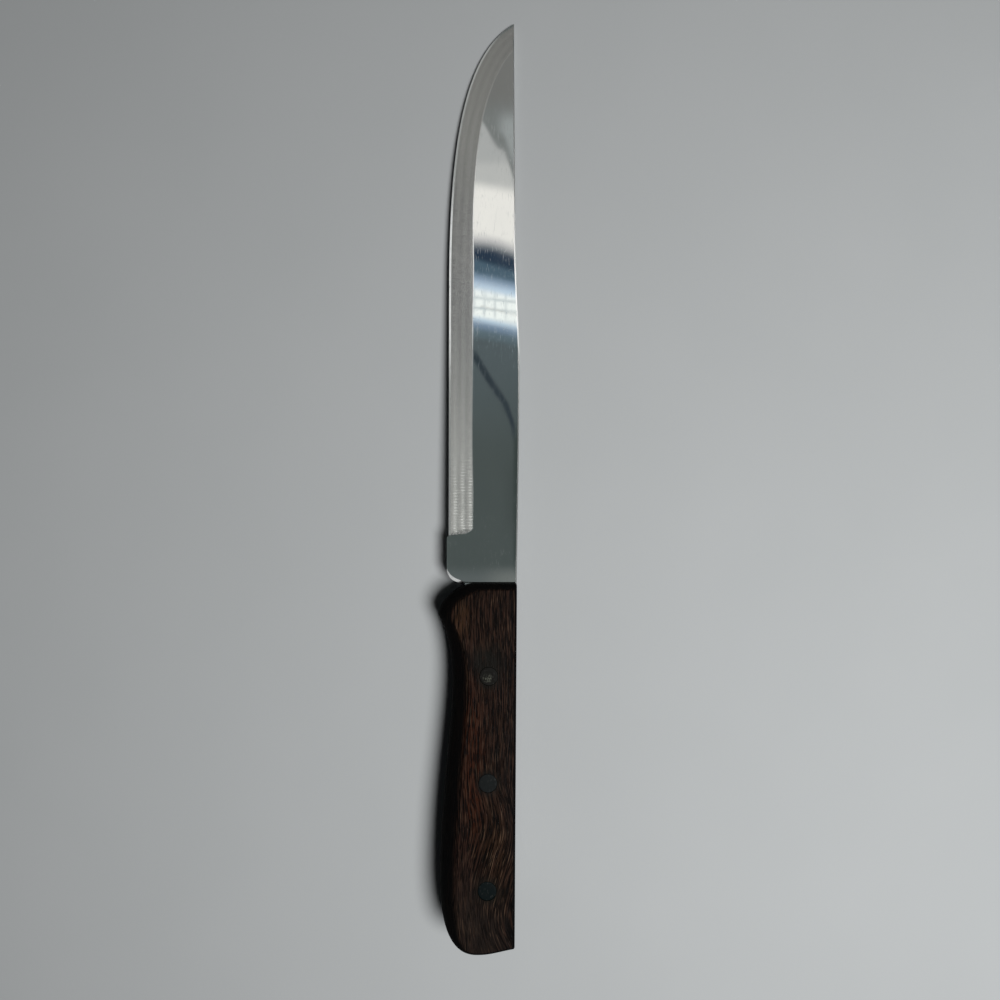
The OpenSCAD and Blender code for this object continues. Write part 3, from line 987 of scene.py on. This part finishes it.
def lathe(name, centre, profile, material, count=64):
    """A closed turned solid from a profile of radius and height, starting and ending on the axis."""
    points = [at(*centre, profile[0][1])]
    for r, z in profile[1:-1]:
        points += [at(x, y, z) for x, y in circle(centre, r, count)]
    points.append(at(*centre, profile[-1][1]))
    last = 1 + (len(profile) - 3) * count
    faces = [(0, 1 + (i + 1) % count, 1 + i) for i in range(count)]
    for first in range(1, last, count):
        faces += band(first, count)
    faces += [(last + i, last + (i + 1) % count, len(points) - 1) for i in range(count)]
    made = mesh_object(name, points, faces, [material])
    outward(made)
    return made


def head_profile(radius):
    """Rivet head from its centre out and down: nearly flat, with a rubbed, rounded rim."""
    flat_r = radius - HEAD_EASE
    dome = [(r, -HEAD_BOW * (r / radius) ** 2) for r in np.linspace(0, flat_r, 6)]
    drop = dome[-1][1]
    turns = np.linspace(0, math.pi / 2, 7)[1:]
    rim = [(flat_r + HEAD_EASE * math.sin(a), drop - HEAD_EASE * (1 - math.cos(a))) for a in turns]
    return dome + rim + [(radius, -HEAD_T)]


def rivet_profiles(radius):
    """Profiles of a rivet's two halves. The post's pin ends inside the tube."""
    head = head_profile(radius)
    pin_end = HEAD_T + END_ROOM
    post = [(r, HANDLE_T + z) for r, z in head]
    post += [(POST_R, HANDLE_T - HEAD_T), (POST_R, pin_end + POST_TIP)]
    post += [(POST_R - POST_TIP, pin_end), (0, pin_end)]
    tube_end = HANDLE_T - HEAD_T - END_ROOM
    bore_r = POST_R + POST_ROOM
    tube = [(r, -z) for r, z in head]
    tube += [(TUBE_R, HEAD_T), (TUBE_R, tube_end), (bore_r, tube_end), (bore_r, HEAD_T), (0, HEAD_T)]
    return {"post": post, "tube": tube}


def dressed_rivets(metal):
    """The post and the tube of each rivet."""
    for name, (centre, radius) in zip(RIVET_NAMES, rivet_places()):
        for half, profile in rivet_profiles(radius).items():
            made = lathe(f"dressed_{name}_rivet_{half}", centre, profile, metal)
            mark_crisp_edges(made, RIVET_CREASE)
            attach(made, "root")
            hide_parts(f"{name}_rivet_{half}")


# Room


def srgb(r, g, b):
    """Linear colour of an 8-bit screen colour."""
    shares = [c / 255 for c in (r, g, b)]
    return tuple(s / 12.92 if s <= 0.04045 else ((s + 0.055) / 1.055) ** 2.4 for s in shares)


def floor_point(x, y):
    """The place on the floor at x and y, in metres."""
    return Vector((x, y, (y - TILT_LINE_Y) * math.tan(FLOOR_TILT)))


def add_floor():
    """Pale matt board that the knife rests on."""
    half = FLOOR_HALF
    outline = ((-half, -half), (half, -half), (half, half), (-half, half))
    corners = [floor_point(x, y) - FLOOR_UP * FLOOR_DROP for x, y in outline]
    paper, tree, shader = new_material("floor_paper")
    place = coordinates(tree)
    cloud = noise(place, (60, 60, 60), detail=3)
    tint = mix(cloud, (0.402, 0.420, 0.427), (0.428, 0.444, 0.452))
    normal = bump(noise(place, (1.2, 1.2, 1.2), detail=3), 0.02)
    connect(shader, tint, 0.9, normal, Specular_IOR_Level=0.1)
    mesh_object("floor", corners, [(0, 1, 2, 3)], [paper])


def direction(azimuth, elevation):
    """Unit vector: azimuth 0 is towards +X and 90 towards +Y, in degrees."""
    turn, lift = math.radians(azimuth), math.radians(elevation)
    flat = math.cos(lift)
    return Vector((math.cos(turn) * flat, math.sin(turn) * flat, math.sin(lift)))


def add_lights():
    """One soft lamp, high up on the side of the handle's butt and back, lights the knife."""
    lamp = bpy.data.lights.new("window_key", "AREA")
    lamp.shape = "DISK"
    lamp.size = LAMP_SIZE
    lamp.energy = LAMP_ENERGY
    lamp.color = LAMP_COLOUR
    made = new_object("window_key", lamp)
    way = direction(*LAMP_WAY)
    made.location = (cad_box[0] + cad_box[1]) / 2 + way * LAMP_FAR
    made.rotation_euler = way.to_track_quat("Z", "Y").to_euler()
    made.visible_camera = False


def add_world():
    """A dim even room: one grey for reflections, a darker one for light and a pale one behind."""
    world = bpy.data.worlds.new("room")
    bpy.context.scene.world = world
    world.use_nodes = True
    tree = world.node_tree
    rays = add(tree, "LightPath", {}).outputs
    tint = mix(rays["Is Diffuse Ray"], (0.130, 0.150, 0.150), (0.014, 0.015, 0.016))
    tint = mix(rays["Is Camera Ray"], tint, (0.42, 0.43, 0.43))
    background = tree.nodes["Background"]
    tree.links.new(tint, background.inputs["Color"])


# Overhead board: a card far above the knife that only reflections see. It is drawn in the
# blade's own millimetres, and each of its points hangs where the cheek mirrors it to the camera.
# Its tones are screen colours, as they look in steel of the tone STEEL_TONE.
BOARD_HEIGHT = 1.0
STEEL_TONE = 0.63
BEVEL_TONE = 0.60


def camera_point():
    """The camera's place, in metres."""
    return floor_point(*CAMERA_OVER) + FLOOR_UP * CAMERA_HEIGHT


def board_point(x, y):
    """Where the board is seen in the cheek at x and y, in metres."""
    cheek = Vector(at(x, y, MID_Z + BLADE_T / 2))
    eye = camera_point()
    reach = (BOARD_HEIGHT - cheek.z) / (eye.z - cheek.z)
    seen = cheek + reach * (cheek - eye)
    return (seen.x, seen.y, BOARD_HEIGHT)


def even_tone(x, tone, steel):
    """The same tone at every point, as it looks in steel of the tone steel."""
    return np.zeros((*x.shape, 3)) + np.array(srgb(*tone)) / steel


def painted(base, layers):
    """Lays each tone over the base in turn, with its share of 0 to 1 at every point."""
    for tone, share in layers:
        base = base + (np.array(srgb(*tone)) / STEEL_TONE - base) * share[..., None]
    return base


def stripe(offset, half, soft):
    """1 within half of the line offset = 0, falling to 0 over soft more."""
    return smoothstep(half + soft, half, abs(offset))


def board_room(x, y):
    """The dim room by the handle, with a dark pipe across it."""
    corner = smoothstep(-7, 0, x) * smoothstep(12, 25, y) * smoothstep(48, 35, y)
    end = smoothstep(7, 1, y)
    side = smoothstep(-1.8, -0.3, x) * smoothstep(60, 48, y) * smoothstep(2, 10, y)
    pipe = np.interp(y, (50, 55, 58, 64, 72, 82), (-1.0, -1.2, -1.9, -4.1, -9.4, -15.4))
    pipe_half = 0.35 + 0.6 * smoothstep(56, 68, y)
    pipe_ends = smoothstep(48, 58, y) * smoothstep(84, 81, y)
    return painted(even_tone(x, (72, 79, 78), STEEL_TONE), [
        ((80, 89, 92), smoothstep(40, 85, y)),
        ((66, 72, 71), 0.7 * corner),
        ((87, 93, 93), end),
        ((106, 110, 108), end * smoothstep(-15, -2, x)),
        ((52, 60, 58), 0.8 * side),
        ((48, 56, 62), stripe(x - pipe, pipe_half, 0.8) * pipe_ends),
    ])


def board_window(x, y):
    """A lit window: blue at its borders, with thin bars, under a dark lintel."""
    past_sill = y - (93.4 - 0.2 * (x + 13.7))
    past_head = y - (108.8 - 0.22 * (x + 13.8))
    past_lintel = y - (117.3 - 0.3 * (x + 13.8))
    from_wire = y - (99.1 - 0.28 * (x + 12.7))
    row = (y + 0.12 * (x + 8) - 97.7) / 3.8
    column = (x + 7.7) / 3.9
    bars = np.maximum(
        stripe(row - np.round(row), 0.04, 0.13),
        0.8 * stripe(column - np.round(column), 0.03, 0.11) * smoothstep(-1, -5, x),
    )
    return painted(board_room(x, y), [
        ((88, 103, 110), smoothstep(-7, -4, past_sill)),
        ((112, 130, 150), smoothstep(-4, -1.2, past_sill)),
        ((185, 203, 218), smoothstep(-1.5, 1.2, past_sill)),
        ((241, 245, 242), smoothstep(0.6, 2.6, past_sill)),
        ((160, 172, 178), 0.8 * bars * smoothstep(1, 4, past_sill)),
        ((190, 186, 178), 0.6 * stripe(from_wire, 0.1, 0.25) * (x > -13)),
        ((186, 204, 222), smoothstep(-4.8, -2.2, past_head)),
        ((134, 153, 173), smoothstep(-2.6, 0.8, past_head)),
        ((73, 93, 107), smoothstep(0, 3.2, past_head)),
        ((42, 55, 71), smoothstep(-2.6, -0.4, past_lintel)),
    ])


def board_blind(x, y):
    """A bright blind above the window, a grey wall past it and its shaded corner."""
    past_foot = y - (122.2 - 0.017 * (x + 15.6) ** 2)
    past_top = y - (144.0 - 0.2 * (x + 15.6))
    wall = 168 - 11.5 * smoothstep(-14.5, -5.5, x) - 16 * smoothstep(-5.5, 1.8, x)
    patch = smoothstep(wall + 3.5, wall + 7, y) * smoothstep(-9, -3, x) * smoothstep(174, 164, y)
    return painted(board_window(x, y), [
        ((120, 124, 128), smoothstep(-3.4, -0.4, past_foot)),
        ((196, 194, 193), smoothstep(-1.6, 2.2, past_foot)),
        ((230, 227, 222), smoothstep(1.2, 4.4, past_foot)),
        ((181, 181, 179), smoothstep(-3.0, 2.4, past_top)),
        ((166, 167, 166), smoothstep(149, 154, y)),
        ((114, 117, 116), smoothstep(wall - 0.8, wall + 0.6, y)),
        ((146, 150, 150), patch),
        ((111, 111, 109), smoothstep(166, 178, y)),
    ])


def board_colours(x, y):
    """What the blade mirrors. The cheek sees x of -16 to 0, and the grinds see the lower x."""
    crest = smoothstep(-28, -32, x) * smoothstep(-45, -41, x)
    crest_ends = smoothstep(82, 90, y) * smoothstep(147, 138, y)
    cheek = painted(board_blind(x, y), [((250, 250, 248), 0.9 * crest * crest_ends)])
    bevel = painted(even_tone(x, (110, 110, 106), BEVEL_TONE), [
        ((22, 22, 22), smoothstep(160, 148, y)),
        ((108, 108, 106), smoothstep(98, 86, y)),
        ((147, 148, 145), smoothstep(80, 66, y)),
        ((206, 208, 204), smoothstep(45, 24, y)),
    ])
    honed = painted(bevel, [
        ((235, 236, 235), smoothstep(172, 160, y) * smoothstep(76, 92, y)),
        ((148, 150, 148), smoothstep(146, 160, y)),
        ((130, 131, 130), smoothstep(70, 50, y)),
    ])
    base = cheek + (bevel - cheek) * smoothstep(-42, -47, x)[..., None]
    return base + (honed - base) * smoothstep(-84, -92, x)[..., None]


def stage_glow(made, name, strength=1.0, tones=None):
    """Makes a card glow, in the colours of the attribute tones. Only reflections see it."""
    glow, tree, shader = new_material(name)
    tree.nodes.remove(shader)
    emission = add(tree, "Emission", {"Strength": strength})
    if tones:
        drawn = add(tree, "Attribute", {}, attribute_name=tones).outputs["Color"]
        tree.links.new(drawn, emission.inputs["Color"])
    tree.links.new(emission.outputs[0], tree.nodes["Material Output"].inputs[0])
    glow.cycles.emission_sampling = "NONE"
    made.data.materials.append(glow)
    for rays in ("camera", "diffuse", "transmission", "shadow"):
        setattr(made, "visible_" + rays, False)


def add_board():
    """The overhead board: a fine grid where the cheek sees it, and a coarse one round that."""
    columns = [np.arange(-130, -20, 5), np.arange(-20, 4, 0.4), np.arange(4, 50, 5)]
    rows = [np.arange(-14, 200, 0.5), np.arange(200, 330, 5)]
    x, y = np.meshgrid(np.concatenate(columns), np.concatenate(rows))
    points = [board_point(a, b) for a, b in zip(x.ravel(), y.ravel())]
    made = mesh_object("overhead_board", points, grid_faces(*x.shape))
    colours = np.concatenate([board_colours(x, y), np.ones((*x.shape, 1))], axis=2)
    tone = made.data.attributes.new("tone", "FLOAT_COLOR", "POINT")
    tone.data.foreach_set("color", colours.astype(np.float32).ravel())
    stage_glow(made, "board_glow", tones="tone")


def add_card(name, centre, radius, azimuths, elevations, strength):
    """A glowing patch of a sphere round centre."""
    points = [centre + radius * direction(a, e) for e in elevations for a in azimuths]
    made = mesh_object(name, points, grid_faces(len(elevations), len(azimuths)))
    stage_glow(made, name + "_glow", strength)


def add_cards():
    """What lights the blade's two narrow eased edges: the back's and the heel's."""
    under_camera = Vector(at(0, 0, MID_Z))
    under_camera.y = camera_point().y
    add_card(
        "back_card", centre=under_camera, radius=0.25, strength=8,
        azimuths=np.linspace(29, 42, 5), elevations=np.linspace(-1.5, 8, 3),
    )
    add_card(
        "heel_card", centre=Vector(at(HEEL_X + 2, 2, MID_Z)), radius=1.0, strength=0.85,
        azimuths=np.linspace(176, 262, 12), elevations=np.linspace(43, 55, 4),
    )


def add_camera():
    """The camera looks straight down on the level floor, as the photo does."""
    lens = bpy.data.cameras.new("camera")
    lens.sensor_width = CAMERA_SENSOR
    lens.lens = lens.sensor_width / 2 / math.tan(CAMERA_FOV / 2)
    lens.clip_start, lens.clip_end = 0.01, 10
    made = new_object("camera", lens)
    made.location = camera_point()
    made.rotation_euler = (FLOOR_TILT, 0, 0)
    bpy.context.scene.camera = made


dressed_blade((polished_steel(), ground_steel(), honed_steel(), edge_steel()))
dressed_handle(handle_wood())
dressed_rivets(rivet_metal())
add_floor()
add_world()
add_lights()
add_board()
add_cards()
add_camera()
bpy.context.scene.view_settings.view_transform = "Standard"
